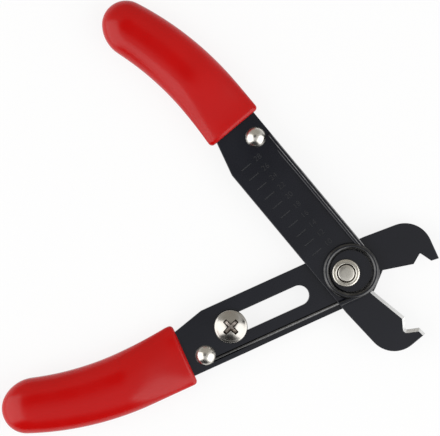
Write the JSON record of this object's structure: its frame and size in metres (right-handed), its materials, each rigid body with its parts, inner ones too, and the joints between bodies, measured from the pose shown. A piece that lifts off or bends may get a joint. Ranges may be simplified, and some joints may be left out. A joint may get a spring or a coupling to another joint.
{
  "type": "wire cutter stripper",
  "caption": "Hand tool for cutting and stripping wire: crossed steel levers on a rivet, notched jaws, hidden return spring, soft grips and a sliding stop screw.",
  "frame": {"origin": "middle of the base of the part's box, as it lies open on its back", "axes": "+Z out of the front face, +X from the handles to the jaws along the line that halves their opening, +Y across the tool towards the front lever's handle"},
  "size_m": [0.1146, 0.1288, 0.0104],
  "materials": {
    "lever_paint": "semi-gloss",
    "grip_vinyl": "gloss",
    "nickel_steel": "nickel plated",
    "spring_steel": "bare wire"
  },
  "bodies": {
    "back_half": {"back_lever": "lever_paint", "back_grip": "grip_vinyl", "back_spring_rivet": "nickel_steel", "pivot_rivet": "nickel_steel", "pivot_washer": "nickel_steel", "return_spring": "spring_steel"},
    "front_half": {"front_lever": "lever_paint", "front_grip": "grip_vinyl", "front_spring_rivet": "nickel_steel"},
    "stop_slider": {"stop_nut": "nickel_steel"},
    "stop_screw": {"stop_screw": "nickel_steel"}
  },
  "joints": [
    {"name": "handle_close", "type": "hinge", "parent": "back_half", "child": "front_half", "pos_m": [0.031, 0.00161, 0.0052], "axis": [0, 0, 1], "range_deg": [0, 50], "stiffness_Nm_per_rad": 0.6, "springref_deg": -17.19, "deforming": ["return_spring"]},
    {"name": "stop_slide", "type": "slide", "parent": "back_half", "child": "stop_slider", "axis": [0.7955, 0.606, 0], "range_m": [0, 0.008]},
    {"name": "stop_turn", "type": "hinge", "parent": "stop_slider", "child": "stop_screw", "pos_m": [0.00216, -0.02092, 0.0052], "axis": [0, 0, 1], "range_deg": [0, 180]}
  ]
}
